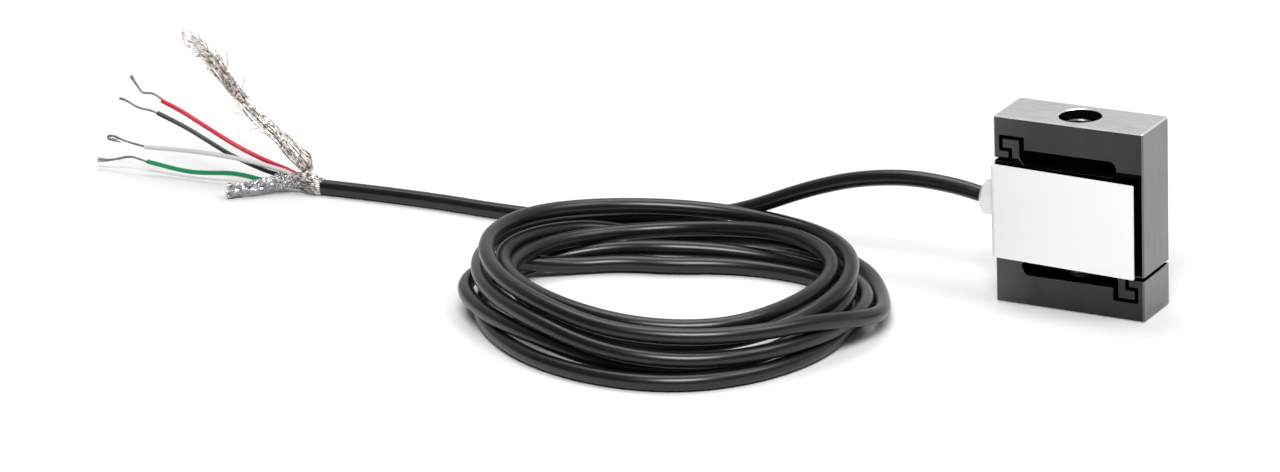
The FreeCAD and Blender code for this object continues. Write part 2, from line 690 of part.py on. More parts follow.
coreRoutes = {
    "red": [(-290, -5.4, 5.0), (-298, -5.6, 6.8), (-306, -6.2, 9.6), (-314, -7, 12.4), (-322, -8, 16), (-330, -9, 20.6),
            (-337.5, -9.4, 25), (-344, -10, 28.4)],
    "black": [(-290, -4.9, 3.2), (-298, -4.9, 4.9), (-306, -5.4, 6.4), (-314, -5.9, 7.8), (-322, -7, 11.2), (-330, -8.2, 15.6),
              (-338, -10, 19.6), (-346, -11, 23)],
    "white": [(-290, -6.6, 2.9), (-299, -7, 4.6), (-308, -7.7, 6.4), (-317, -8.2, 8.6), (-326, -8.8, 9.7), (-335, -9.6, 9.8),
              (-344, -10.2, 9.8), (-352, -11, 10)],
    "green": [(-290, -5.2, 1.7), (-300, -5, 2), (-309.5, -6, 2.4), (-319, -7.6, 3), (-328, -8.6, 3.2), (-337, -9, 3),
              (-345, -10, 3.3), (-352, -11, 4.6)],
}
strandRoutes = {
    "red": [(-344, -10, 28.4), (-347.6, -10.6, 29.6), (-351, -11.2, 31.4), (-353.6, -11.8, 33.8), (-355.6, -12.2, 36.6)],
    "black": [(-346, -11, 23), (-350.6, -11.6, 24.3), (-355.4, -12, 25.9), (-360, -12, 27)],
    "white": [(-352, -11, 10), (-356.2, -11.4, 10.8), (-360.6, -12.2, 11.8), (-364.4, -13, 12.4)],
    "green": [(-352, -11, 4.6), (-357, -11.6, 5.8), (-362.2, -12.2, 5.6), (-367, -12.8, 4.4), (-371.4, -13, 3.8)],
}
for colour, route in coreRoutes.items():
    fixed(f"core_{colour}", tube(f"core_{colour}", route, sizes["coreDia"]).cut(braid.fuse(foil)))
for colour, route in strandRoutes.items():
    core = doc.getObject(f"core_{colour}").Shape
    fixed(f"strands_{colour}", tube(f"strands_{colour}", route, sizes["strandDia"]).cut(core))

# Inside the window the cores come out of the lead and lie on the terminal board.
boardTop = midHeight - sizes["windowNeck"] / 2 + sizes["boardThick"]
leadEnd = entryX + 5.9
boardCore = boardTop + sizes["coreDia"] / 2
innerCores = [("red", -4.2, -1.0, 1.0), ("black", -1.9, -0.9, -0.9), ("white", 1.9, 0.9, -0.9), ("green", 4.2, 1.0, 1.0)]
for colour, y, startY, startZ in innerCores:
    step = -2.6 - leadEnd
    route = [
        (leadEnd, startY, midHeight + startZ),
        (leadEnd + step * 0.28, startY + (y - startY) * 0.12, midHeight + startZ * 0.9),
        (leadEnd + step * 0.58, y - (y - startY) * 0.25, (midHeight + boardCore) / 2 + startZ * 0.5),
        (-2.6, y, boardCore),
    ]
    core = tube(f"inner_core_{colour}", route, sizes["coreDia"])
    fixed(f"inner_core_{colour}", core.cut(lead))

wires = []
wireRadius = sizes["wireDia"] / 2
drop = sizes["windowBore"] / 2 - sizes["gaugeThick"] - sizes["wireDia"] * 0.7
for side in (-1, 1):
    boreX = side * sizes["windowSpacing"] / 2
    footX = side * (sizes["boardLength"] / 2 - 1.6)
    upper = [
        (boreX, 2.7, midHeight + drop), (boreX * 0.78, 2.8, midHeight + drop - 1.6),
        (boreX * 0.55, 3.0, midHeight + 1.4), (footX, 3.05, boardTop + wireRadius),
    ]
    lower = [
        (boreX, -2.5, midHeight - drop), (boreX * 0.82, -2.7, midHeight - 6.0),
        (boreX * 0.56, -2.85, midHeight - 1.6), (footX, -3.0, boardTop + wireRadius),
    ]
    wires += [tube("gauge_wiring", route, sizes["wireDia"]) for route in (upper, lower)]
fixed("gauge_wiring", Part.makeCompound(wires))

# ---------------------------------------------------------------- checks and export
doc.recompute()
for item in doc.Objects:
    if any(word in ("Invalid", "Error", "Touched") for word in item.State):
        raise RuntimeError(f"{item.Name} did not build: {item.State}")
for piece in nodes:
    shape = piece.Shape
    if shape.isNull() or not shape.isValid() or not shape.Solids or shape.Volume <= 0:
        raise RuntimeError(f"{piece.Label} has no sound solid")

os.makedirs("parts", exist_ok=True)
for piece in nodes:
    shape = piece.Shape
    box = shape.BoundBox
    spans = [round(v, 2) for v in (box.XMin, box.XMax, box.YMin, box.YMax, box.ZMin, box.ZMax)]
    print(f"{piece.Label:24s} solids {len(shape.Solids)} faces {len(shape.Faces)} volume {shape.Volume:.1f} box {spans}")
    shape.exportStep(f"parts/{piece.Label}.step")
print("sub-parts:", len(nodes))
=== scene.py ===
import math
import random
import bpy
import bmesh
from mathutils import Matrix, Quaternion, Vector, noise


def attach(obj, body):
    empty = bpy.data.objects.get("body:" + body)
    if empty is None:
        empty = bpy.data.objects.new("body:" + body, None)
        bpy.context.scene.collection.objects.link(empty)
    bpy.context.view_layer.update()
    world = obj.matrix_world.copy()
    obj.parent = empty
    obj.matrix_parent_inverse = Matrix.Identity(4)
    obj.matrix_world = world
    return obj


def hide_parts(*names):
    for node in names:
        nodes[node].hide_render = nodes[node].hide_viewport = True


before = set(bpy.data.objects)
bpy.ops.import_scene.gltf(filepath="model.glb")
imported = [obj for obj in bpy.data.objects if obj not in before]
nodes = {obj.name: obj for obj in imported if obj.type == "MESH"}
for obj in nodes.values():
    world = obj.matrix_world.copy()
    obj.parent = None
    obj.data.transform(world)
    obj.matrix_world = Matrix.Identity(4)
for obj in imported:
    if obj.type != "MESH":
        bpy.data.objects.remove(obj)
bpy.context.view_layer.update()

mm = 0.001
random.seed(7)


def say(stage):
    print("stage:", stage, flush=True)


def millimetres(points):
    return [Vector(p) * mm for p in points]


# the view: a long lens, a little above and to the right of the cell
viewer = {
    "place": (0.60003, -1.29068, 0.53231),
    "turn": 30.513,    # degrees round from the front
    "height": 19.562,  # degrees above the floor
    "roll": -2.615,
    "lens": 135.08,
}


def setCamera():
    turn, height, roll = (math.radians(viewer[k]) for k in ("turn", "height", "roll"))
    back = Vector((math.sin(turn) * math.cos(height), -math.cos(turn) * math.cos(height), math.sin(height)))
    level = Vector((math.cos(turn), math.sin(turn), 0))
    upright = back.cross(level)
    right = level * math.cos(roll) + upright * math.sin(roll)
    up = upright * math.cos(roll) - level * math.sin(roll)
    camera = bpy.data.objects.new("camera", bpy.data.cameras.new("camera"))
    camera.data.lens = viewer["lens"]
    camera.data.sensor_width = 36
    camera.data.clip_end = 50
    placed = Matrix((right, up, back)).transposed().to_4x4()
    placed.translation = viewer["place"]
    camera.matrix_world = placed
    bpy.context.collection.objects.link(camera)
    bpy.context.scene.camera = camera


# one value, colour or vector on its way through a material
class Flow:
    def __init__(self, finish, socket):
        self.finish = finish
        self.socket = socket

    def join(self, operation, other, swapped=False):
        pair = (other, self) if swapped else (self, other)
        kinds = {p.socket.type for p in pair if isinstance(p, Flow)}
        if kinds & {"VECTOR", "RGBA"}:
            pair = [p if isinstance(p, Flow) or isinstance(p, (tuple, Vector)) else (p, p, p) for p in pair]
            return self.finish.node("VectorMath", {"operation": operation}, {0: pair[0], 1: pair[1]})
        return self.finish.node("Math", {"operation": operation}, {0: pair[0], 1: pair[1]})

    def __add__(self, other):
        return self.join("ADD", other)

    def __radd__(self, other):
        return self.join("ADD", other, True)

    def __sub__(self, other):
        return self.join("SUBTRACT", other)

    def __rsub__(self, other):
        return self.join("SUBTRACT", other, True)

    def __mul__(self, other):
        return self.join("MULTIPLY", other)

    def __rmul__(self, other):
        return self.join("MULTIPLY", other, True)

    def __truediv__(self, other):
        return self.join("DIVIDE", other)

    def __rtruediv__(self, other):
        return self.join("DIVIDE", other, True)

    def __pow__(self, other):
        return self.join("POWER", other)

    def __abs__(self):
        return self.finish.node("Math", {"operation": "ABSOLUTE"}, {0: self})

    def least(self, other):
        return self.join("MINIMUM", other)

    def below(self, limit):
        return self.join("LESS_THAN", limit)

    def above(self, limit):
        return self.join("GREATER_THAN", limit)

    def sine(self):
        return self.finish.node("Math", {"operation": "SINE"}, {0: self})

    def part(self, name):
        return self.finish.node("SeparateXYZ", {}, {0: self}, name)


class Finish:
    def __init__(self, name, **flat):
        self.material = bpy.data.materials.new(name)
        self.material.use_nodes = True
        self.tree = self.material.node_tree
        self.surface = next(n for n in self.tree.nodes if n.type == "BSDF_PRINCIPLED")
        for key, value in flat.items():
            label = {"baseColor": "Base Color", "coat": "Coat Weight", "coatRoughness": "Coat Roughness",
                     "specular": "Specular IOR Level"}.get(key, key.title())
            self.surface.inputs[label].default_value = (*value, 1) if isinstance(value, tuple) else value

    def node(self, kind, settings=None, sockets=None, out=0):
        made = self.tree.nodes.new("ShaderNode" + kind)
        for key, value in (settings or {}).items():
            if key == "stops":
                ramp = made.color_ramp
                while len(ramp.elements) < len(value):
                    ramp.elements.new(0.5)
                for element, (at, colour) in zip(ramp.elements, value):
                    element.position = at
                    element.color = (*colour, 1) if isinstance(colour, tuple) else (colour, colour, colour, 1)
            else:
                setattr(made, key, value)
        for key, value in (sockets or {}).items():
            target = made.inputs[key]
            if isinstance(value, Flow):
                self.tree.links.new(value.socket, target)
            elif target.type == "RGBA" and len(value) == 3:
                target.default_value = (*value, 1)
            else:
                target.default_value = value
        return Flow(self, made.outputs[out])

    def place(self):
        return self.node("TexCoord", {}, {}, "Object") * 1000.0  # millimetres

    def facing(self):
        return self.node("TexCoord", {}, {}, "Normal")

    def grain(self, vector, scale, detail=3.0, roughness=0.5):
        return self.node("TexNoise", {}, {"Vector": vector, "Scale": scale, "Detail": detail, "Roughness": roughness}, "Fac")

    def ramp(self, value, stops, out="Color"):
        return self.node("ValToRGB", {"stops": stops}, {"Fac": value}, out)

    def blend(self, factor, first, second):
        made = self.tree.nodes.new("ShaderNodeMix")
        made.data_type = "RGBA"
        for target, value in ((made.inputs[0], factor), (made.inputs[6], first), (made.inputs[7], second)):
            if isinstance(value, Flow):
                self.tree.links.new(value.socket, target)
            elif target.type == "RGBA":
                target.default_value = (*value, 1)
            else:
                target.default_value = value
        return Flow(self, made.outputs[2])

    def feed(self, **flows):
        for key, flow in flows.items():
            label = {"baseColor": "Base Color", "coat": "Coat Weight"}.get(key, key.title())
            self.tree.links.new(flow.socket, self.surface.inputs[label])

    def bump(self, height, depth, strength=1.0):
        self.feed(normal=self.node("Bump", {}, {"Height": height, "Distance": depth * mm, "Strength": strength}, "Normal"))


def dress(piece, finish):
    piece.data.materials.clear()
    piece.data.materials.append(finish.material)


# dark nickel on the spring element, with painted light: the top, the sides and the front take lighter or darker colours
# by which way they face; near-black slots and holes are painted shade
blockFinish = {
    # painted reflection: the front's colour runs lighter towards the left
    "front": [(0.08, (0.1, 0.1, 0.1)), (0.3, (0.056, 0.056, 0.057)), (0.9, (0.047, 0.047, 0.048))],
    "side": (0.2, 0.2, 0.202),
    "top": (0.68, 0.68, 0.682),
    # painted shade: the near-black colour of the slots and holes
    "inside": (0.0015, 0.0015, 0.0015),
    # painted highlight: broken edges are made brighter
    "edge": 1.6,  # how much brighter the broken edges are
    "coverShadeAndSealant": (15.4, 48.6),  # painted shade round the cover, partly its dark sealant, darkens the faces between these heights
    "roughness": 0.26,
    "half": (25.4, 9.7, 31.0),  # half the block's width, thickness and height
}


def blackNickel():
    finish = Finish("blackNickel", specular=0.0)
    place, facing = finish.place(), finish.facing()
    across, depth, up = (abs(facing.part(axis)) for axis in "XYZ")
    broken = ((1.0 - across).least(1.0 - depth).least(1.0 - up)).above(0.15)
    wide, thick, tall = blockFinish["half"]
    toSide = wide - abs(place.part("X"))
    toFace = thick - abs(place.part("Y"))
    toEnd = tall - abs(place.part("Z") - tall)
    skin = toSide.least(toFace).least(toEnd).below(0.3)
    lines = finish.grain(place * (0.8, 9.0, 9.0), 1.0, 4.0)
    cloud = finish.grain(place, 0.06, 3.0)
    smear = finish.grain(place * (0.3, 1.0, 0.12), 0.5, 4.0)
    # painted reflection: the front is lighter towards the left end
    front = finish.ramp(place.part("X") / 60.0 + 0.5, blockFinish["front"])
    # painted light: front, side and top colours blended by which way each face points
    colour = finish.blend(across, front, blockFinish["side"])
    colour = finish.blend(up, colour, blockFinish["top"])
    # painted shade round the cover, partly its dark sealant: front and back faces between these heights are darkened
    low, high = blockFinish["coverShadeAndSealant"]
    clear = (place.part("Z").below(low) + place.part("Z").above(high) + across.above(0.5)).least(1.0)
    # painted highlight: upward-facing broken edges are brightened; lines and smear are the grain
    colour = colour * (0.76 + 0.1 * lines + 0.38 * smear) * (1.0 + blockFinish["edge"] * broken * up)
    # painted shade: the faces are darker towards the foot of the block
    colour = colour * (0.78 + 0.22 * (place.part("Z") / 20.0).least(1.0))
    # painted shade round the cover, partly its sealant, darkens these faces
    colour = colour * (0.06 + 0.94 * clear)
    # painted shade: everything deeper than 0.3 mm inside the block's outline takes the near-black colour
    finish.feed(baseColor=finish.blend(skin, blockFinish["inside"], colour), metallic=skin)
    finish.feed(roughness=0.62 - skin * (0.62 - blockFinish["roughness"]) + 0.08 * lines + 0.14 * (cloud - 0.5))
    finish.bump(lines + 0.4 * smear, 0.003, 0.45)
    return finish


sheetFinish = {"low": (0.82, 0.82, 0.818), "high": (0.86, 0.86, 0.858), "roughness": 0.36}


def satinSheet():
    finish = Finish("satinSheet", metallic=0.12)
    place = finish.place()
    lines = finish.grain(place * (0.5, 0.5, 12.0), 1.0, 5.0)
    cloud = finish.grain(place, 0.05, 2.0)
    finish.feed(baseColor=finish.blend(lines, sheetFinish["low"], sheetFinish["high"]))
    finish.feed(roughness=sheetFinish["roughness"] + 0.1 * lines + 0.06 * cloud)
    finish.bump(lines, 0.003, 0.4)
    return finish


def blackSealant():
    finish = Finish("blackSealant", metallic=0.0)
    lumps = finish.grain(finish.place(), 0.8, 4.0)
    finish.feed(baseColor=finish.blend(lumps, (0.012, 0.012, 0.012), (0.03, 0.03, 0.03)))
    finish.feed(roughness=0.42 + 0.2 * lumps)
    finish.bump(lumps, 0.05, 0.6)
    return finish


def nickelPlate():
    finish = Finish("nickelPlate", metallic=0.25)
    place, up = finish.place(), finish.facing().part("Z")
    turned = finish.grain(place * (14.0, 0.6, 0.6), 1.0, 3.0)
    # painted light: faces turned down or sideways are near white and faces turned up darker, to even out how the lamps
    # fall on the gland
    low = finish.ramp(up, [(0.0, (0.97, 0.965, 0.95)), (0.5, (0.48, 0.475, 0.465))])
    finish.feed(baseColor=low * (0.94 + 0.08 * finish.grain(place, 0.4, 3.0)))
    finish.feed(roughness=0.3 + 0.14 * turned)
    finish.bump(turned, 0.004, 0.5)
    return finish


def cutThread():
    finish = Finish("cutThread", metallic=1.0)
    turned = finish.grain(finish.place() * (1.0, 1.0, 6.0), 1.0, 3.0)
    finish.feed(baseColor=finish.blend(turned, (0.09, 0.09, 0.09), (0.2, 0.2, 0.2)), roughness=0.34 + 0.1 * turned)
    finish.bump(turned, 0.01, 0.5)
    return finish


jacketFinish = {"dark": (0.0022, 0.0022, 0.0023), "worn": (0.006, 0.0058, 0.0056), "roughness": 0.22}


def cableJacket():
    finish = Finish("cableJacket", metallic=0.0)
    place = finish.place()
    skin = finish.grain(place, 2.2, 4.0)
    cloud = finish.grain(place, 0.05, 3.0)
    finish.feed(baseColor=finish.blend(cloud, jacketFinish["dark"], jacketFinish["worn"]))
    finish.feed(roughness=jacketFinish["roughness"] + 0.06 * skin + 0.1 * cloud)
    finish.bump(skin, 0.012, 0.4)
    return finish


def insulation(name, dark, light):
    finish = Finish(name + "Insulation", metallic=0.0)
    place = finish.place()
    skin = finish.grain(place, 1.4, 3.0)
    finish.feed(baseColor=finish.blend(skin, dark, light))
    finish.feed(roughness=0.3 + 0.16 * skin)
    finish.bump(skin, 0.02, 0.4)
    return finish


def braidWire():
    finish = Finish("braidWire", metallic=0.9)
    place = finish.place()
    clumpsAndShade = finish.grain(place, 0.8, 3.0)
    warm = finish.grain(place, 0.22, 2.0)
    # the dark ends of these ramps are painted shade in the gaps between wires, the light ends the tin; copper is the
    # wire's own tone
    silver = finish.ramp(clumpsAndShade, [(0.36, (0.18, 0.165, 0.15)), (0.48, (0.62, 0.59, 0.57)), (0.6, (0.96, 0.945, 0.935))])
    copper = finish.ramp(clumpsAndShade, [(0.36, (0.24, 0.17, 0.13)), (0.48, (0.68, 0.59, 0.53)), (0.6, (0.96, 0.91, 0.87))])
    finish.feed(baseColor=finish.blend(finish.ramp(warm, [(0.4, 0.0), (0.62, 1.0)]), silver, copper))
    finish.feed(roughness=0.2 + 0.3 * clumpsAndShade)
    finish.bump(finish.grain(place, 6.0, 2.0), 0.01, 0.4)
    return finish


def bareWire():
    finish = Finish("bareWire", metallic=0.85)
    place = finish.place()
    tarnish = finish.grain(place, 0.7, 4.0)
    finish.feed(baseColor=finish.ramp(tarnish, [(0.3, (0.16, 0.15, 0.145)), (0.55, (0.3, 0.28, 0.27)), (0.8, (0.5, 0.49, 0.48))]))
    finish.feed(roughness=0.3 + 0.25 * tarnish)
    finish.bump(finish.grain(place, 5.0, 2.0), 0.01, 0.4)
    return finish


# constantan grid on a yellow backing
def gaugeFoil():
    finish = Finish("gaugeFoil")
    place = finish.place()
    lines = (place.part("Y") * 9.0).sine()
    grid = 1.0 - (abs(place.part("Y")) - 2.0).below(0.0) * (1.0 - lines.below(0.0))
    finish.feed(baseColor=finish.blend(grid, (0.52, 0.42, 0.3), (0.62, 0.36, 0.06)))
    finish.feed(metallic=0.9 - grid * 0.9, roughness=0.32 + 0.2 * finish.grain(place, 2.0))
    return finish


# glass-fibre board with tinned pads along both sides
def terminalBoard():
    finish = Finish("terminalBoard")
    place = finish.place()
    weave = (place.part("X") * 12.0).sine() * (place.part("Y") * 12.0).sine()
    pad = (abs(abs(place.part("X")) - 2.8) - 0.6).below(0.0) * (place.part("Y") * 3.4).sine().below(0.2)
    green = finish.blend(0.5 + 0.5 * weave, (0.01, 0.12, 0.05), (0.02, 0.2, 0.09))
    finish.feed(baseColor=finish.blend(pad, green, (0.72, 0.7, 0.66)), metallic=pad * 0.9)
    finish.feed(roughness=0.3 + 0.15 * finish.grain(place, 1.0))
    finish.bump(weave, 0.02, 0.3)
    return finish


# dark ceramic with tinned ends
def chipBody():
    finish = Finish("chipBody")
    place = finish.place()
    ends = 1.0 - (abs(place.part("X") - 0.75) - 1.1).below(0.0)
    grit = finish.grain(place, 6.0, 3.0)
    finish.feed(baseColor=finish.blend(ends, finish.blend(grit, (0.012, 0.012, 0.014), (0.03, 0.03, 0.034)), (0.75, 0.74, 0.72)))
    finish.feed(metallic=ends * 0.95, roughness=0.3 + 0.2 * grit)
    finish.bump(grit, 0.01, 0.3)
    return finish


def lacqueredWire():
    finish = Finish("lacqueredWire", metallic=0.7, coat=0.6)
    skin = finish.grain(finish.place(), 1.6, 3.0)
    finish.feed(baseColor=finish.blend(skin, (0.36, 0.09, 0.025), (0.6, 0.2, 0.06)))
    finish.feed(roughness=0.2 + 0.15 * skin)
    return finish


def crumpledFoil():
    finish = Finish("crumpledFoil", metallic=1.0)
    place = finish.place()
    creases = finish.node("TexVoronoi", {"feature": "DISTANCE_TO_EDGE"}, {"Vector": place, "Scale": 0.5}, "Distance")
    soft = finish.grain(place, 0.7, 2.0)
    finish.feed(baseColor=finish.blend(soft, (0.2, 0.195, 0.21), (0.6, 0.59, 0.62)))
    finish.feed(roughness=0.2 + 0.2 * soft)
    finish.bump(finish.ramp(creases, [(0.0, 0.0), (0.1, 1.0)]), 0.1, 0.5)
    return finish


say("finishes")
finishes = {
    "blackNickel": blackNickel(),
    "satinSheet": satinSheet(),
    "sealant": blackSealant(),
    "nickel": nickelPlate(),
    "thread": cutThread(),
    "jacket": cableJacket(),
    "red": insulation("red", (0.42, 0.004, 0.02), (0.56, 0.01, 0.036)),
    "black": insulation("black", (0.012, 0.012, 0.013), (0.03, 0.03, 0.032)),
    "white": insulation("white", (0.5, 0.48, 0.48), (0.6, 0.585, 0.58)),
    "green": insulation("green", (0.0, 0.16, 0.05), (0.006, 0.27, 0.1)),
    "braidWire": braidWire(),
    "bareWire": bareWire(),
    "foil": crumpledFoil(),
    "gauge": gaugeFoil(),
    "board": terminalBoard(),
    "chip": chipBody(),
    "lacquer": lacqueredWire(),
}


# the cable: out of the gland, into six loose turns, and off to its stripped end
cable = {
    "diameter": 5.2,
    "exit": (-33.6, 0, 31),
    "lead": [
        (-19.5, 0, 31), (-32.5, 0, 31), (-40, 0, 32.6), (-50, 0, 33.5), (-60, 0, 33.6), (-71, 0.3, 32.2), (-82, 0.9, 29.7),
        (-93, 1.6, 26), (-103, 2.2, 22), (-112, 2.2, 18), (-121, 1, 14.4), (-132, -0.6, 11.4),
    ],
    "tail": [(-178, -1.0, 2.7), (-208.6, -3.6, 2.7), (-247.5, -2.3, 2.7), (-283.1, -5.4, 2.7)],
}
coil = {
    "middle": (-113, -62),
    "turned": 30,   # degrees
    "stations": 16,  # points in each turn, from the back round by the left
    "slack": 1.019,  # the line runs a little inside its points
    # radius and height of each turn; None lies midway between its neighbours
    "turns": [
        [(68, 9.4), (67, 10.6), (65.5, 12), None, (61.2, 13.6), None, (60.6, 14), (60.5, 10),
         (60, 8), None, (61.5, 8), (61.5, 6.5), (61, 4.5), None, (54, 2.9), None],
        [(44.2, 7), (49.6, 5.8), (55.6, 3.4), None, (61.2, 2.7), None, (64, 2.7), None,
         (65, 2.7), None, (61, 2.7), (58.5, 2.7), (55.5, 2.7), (51, 2.7), (45, 2.7), None],
        [(38, 3.3), (42, 3.3), (46.4, 3), (60, 8), (67, 8), None, (60, 8), (57.5, 4.5),
         (54.5, 2.7), None, (55.2, 6.4), (56, 8.2), (55.6, 9), None, (58, 8.6), (60.5, 6)],
        [(62, 3), (62, 9.5), (58.6, 12), None, (53.6, 15), None, (48.5, 15), None,
         (43, 12.5), (45.4, 12.8), (46.4, 13.4), None, (50.6, 13.6), None, (52, 13.2), None],
        [(57, 9), (54.6, 9.2), (52.4, 10.1), None, (51.6, 11.2), None, (48, 9), None,
         (45, 7), None, (52, 10.6), (55.3, 12.8), (56.4, 13.6), (58.4, 13), (62.2, 11.8), None],
        [(61.6, 15.2), None, (60.5, 18.6), None, (58.6, 20), None, (57.5, 18.5), (57, 15.5),
         (56, 14.4), (58.6, 14.2), (62, 13.4), (68.6, 6.4), (65, 2.7), None, (69, 2.7), (72, 2.7)],
        [(75, 2.7)],
    ],
}


def coilPoints():
    stations = [spot for turn in coil["turns"] for spot in turn]
    swing = math.radians(coil["turned"])
    points = []
    for i, spot in enumerate(stations):
        if spot is None:
            before, after = stations[i - 1], stations[i + 1]
            spot = ((before[0] + after[0]) / 2, (before[1] + after[1]) / 2)
        radius, height = spot
        angle = math.pi / 2 + 2 * math.pi * i / coil["stations"]
        lean = 9 * math.cos(angle) ** 2 - 7 * math.cos(angle)
        along = radius * math.cos(angle) * coil["slack"]
        away = radius * math.sin(angle) * coil["slack"] + lean
        x = coil["middle"][0] + along * math.cos(swing) - away * math.sin(swing)
        y = coil["middle"][1] + along * math.sin(swing) + away * math.cos(swing)
        points.append((x, y, height))
    return points


def smoothCurve(name, strands, radius, fills=True, sides=3):
    curve = bpy.data.curves.new(name, "CURVE")
    curve.dimensions = "3D"
    curve.bevel_depth = 1.0  # each point's own radius sets the thickness
    curve.bevel_resolution = sides
    curve.resolution_u = 6
    curve.use_fill_caps = fills
    for points in strands:
        spline = curve.splines.new("NURBS")
        spline.points.add(len(points) - 1)
        for target, point in zip(spline.points, millimetres(points)):
            target.co = (*point, 1)
            target.radius = radius * mm
        spline.order_u = 3
        spline.use_endpoint_u = True
    made = bpy.data.objects.new(name, curve)
    bpy.context.collection.objects.link(made)
    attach(made, "root")
    return made


# the smooth line through a given route, and places round it
class Route:
    def __init__(self, points, fineness=8):
        curve = bpy.data.curves.new("route", "CURVE")
        curve.dimensions = "3D"
        curve.resolution_u = fineness
        spline = curve.splines.new("NURBS")
        spline.points.add(len(points) - 1)
        for target, point in zip(spline.points, points):
            target.co = (*point, 1)
        spline.order_u = 3
        spline.use_endpoint_u = True
        holder = bpy.data.objects.new("route", curve)
        mesh = bpy.data.meshes.new_from_object(holder)
        self.line = [vertex.co.copy() for vertex in mesh.vertices]
        bpy.data.meshes.remove(mesh)
        bpy.data.objects.remove(holder)
        bpy.data.curves.remove(curve)
        self.reach = [0.0]
        for near, far in zip(self.line, self.line[1:]):
            self.reach.append(self.reach[-1] + (far - near).length)
        self.length = self.reach[-1]

    def at(self, share, out=0.0, angle=0.0):
        goal = min(max(share, 0), 1) * self.length
        i = next((k for k, reach in enumerate(self.reach[1:]) if reach >= goal), len(self.line) - 2)
        near, far = self.line[i], self.line[i + 1]
        ahead = (far - near).normalized()
        beside = ahead.cross(Vector((0, 1, 0))).normalized()
        above = beside.cross(ahead)
        middle = near + ahead * (goal - self.reach[i])
        return middle + (beside * math.cos(angle) + above * math.sin(angle)) * out


def level(stops, share):
    for (a, low), (b, high) in zip(stops, stops[1:]):
        if share <= b:
            return low + (high - low) * (share - a) / (b - a)
    return stops[-1][1]


say("camera")
setCamera()

say("cable")
cablePiece = smoothCurve("cable", [cable["lead"] + coilPoints() + cable["tail"]], cable["diameter"] / 2, sides=5)
dress(cablePiece, finishes["jacket"])
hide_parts("cable_lead", "cable_coil", "cable_tail")

# the four cores
cores = {
    "red": [(-288.5, -5.4, 4.4), (-294.5, -5.7, 6.9), (-302.6, -6.2, 9), (-310, -7, 11.6), (-317, -8.6, 15.2),
            (-323, -9, 18.2), (-329.4, -9.2, 21.2), (-336.6, -9.8, 25), (-343.9, -10, 27.5)],
    "black": [(-288.5, -4.6, 3.4), (-301, -5.8, 4.9), (-307.4, -6.1, 6.3), (-313, -6.7, 8.2), (-319.2, -7.1, 10.3),
              (-327, -7.4, 13.9), (-333.6, -8.8, 17.8), (-339.6, -9.8, 20.6), (-345.5, -11, 23.2)],
    "white": [(-288.5, -6.6, 4.4), (-294, -7.6, 7), (-300, -8.4, 8.3), (-306.8, -9, 9.4), (-314.2, -9.7, 10.3),
              (-323.6, -10, 10.7), (-333.4, -10.4, 10.7), (-343, -10.6, 10.4), (-352, -11, 10)],
    "green": [(-290, -6.2, 1.8), (-299, -7.4, 2.2), (-307, -8, 3.1), (-312.6, -8.3, 3.9), (-318.4, -8.8, 4.1),
              (-325.6, -9.2, 3.3), (-332, -9.8, 2.8), (-338, -10, 2.9), (-344.8, -10.2, 3.6), (-351.5, -11, 4.7)],
}
for colour, route in cores.items():
    core = smoothCurve(colour + "Core", [route], 0.8)
    dress(core, finishes[colour])
    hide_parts("core_" + colour)

say("bare strands")
# each core's bare end: seven fine wires twisted together, the white one bent back on itself
strands = {
    "wire": 0.14,     # radius of one wire
    "bundle": 0.27,   # and of the ring that six of them lie on
    "twist": 5.0,     # millimetres for one turn
    "routes": {
        "red": [(-343.4, -10, 27.7), (-345.2, -10.3, 29.1), (-347, -10.7, 30.1), (-349, -11, 30), (-351.2, -11.3, 29.9),
                (-352.2, -11.6, 31.8), (-353.4, -12, 33.7), (-354.7, -12.2, 36)],
        "black": [(-345.4, -11, 23.1), (-348.4, -11.2, 24), (-351.2, -11.5, 24.1), (-353.8, -11.8, 24.8),
                  (-356.2, -12, 26), (-358.6, -12, 26.9), (-360.4, -12, 27)],
        "white": [(-351.4, -11, 10), (-355, -11.2, 10.5), (-358, -11.3, 10.9), (-361, -11.4, 11.5), (-363.6, -11.5, 12.5),
                  (-366, -11.6, 12.9), (-367.8, -11.9, 12), (-366, -12.2, 11.2), (-363.8, -12.4, 10.8),
                  (-361.4, -12.2, 11.2)],
        "green": [(-351.4, -11, 4.5), (-354.4, -11.2, 5.2), (-357.2, -11.5, 5.8), (-360, -11.7, 5.5), (-363, -12, 4.5),
                  (-366, -12.3, 3.8), (-368.8, -12.6, 3.4), (-371.2, -13, 3.4)],
    },
    "splay": {"red": 0.22, "black": 0.1, "white": 0.1, "green": 0.6},  # how far the wires part at the tip
    "drop": (-365.6, -11.8, 12),  # the white wires close in on this point, each by its own share
}
for colour, points in strands["routes"].items():
    route = Route(points)
    steps = int(route.length / 0.55)
    wires = [[route.at(k / steps) for k in range(steps + 1)]]
    for turn in range(6):
        wire = []
        for k in range(steps + 1):
            share = k / steps
            parted = strands["splay"][colour] * max(0, share - 0.75) * 4
            angle = math.tau * (turn / 6 + route.length * share / strands["twist"])
            place = route.at(share, strands["bundle"] + parted, angle)
            if colour == "white" and share > 0.42:
                place = place.lerp(Vector(strands["drop"]), 0.13 * turn * min(1, (share - 0.42) * 6))
            wire.append(place)
        wires.append(wire)
    piece = smoothCurve(colour + "Strands", wires, strands["wire"], sides=1)
    dress(piece, finishes["bareWire"])
    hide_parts("strands_" + colour)

say("braid")
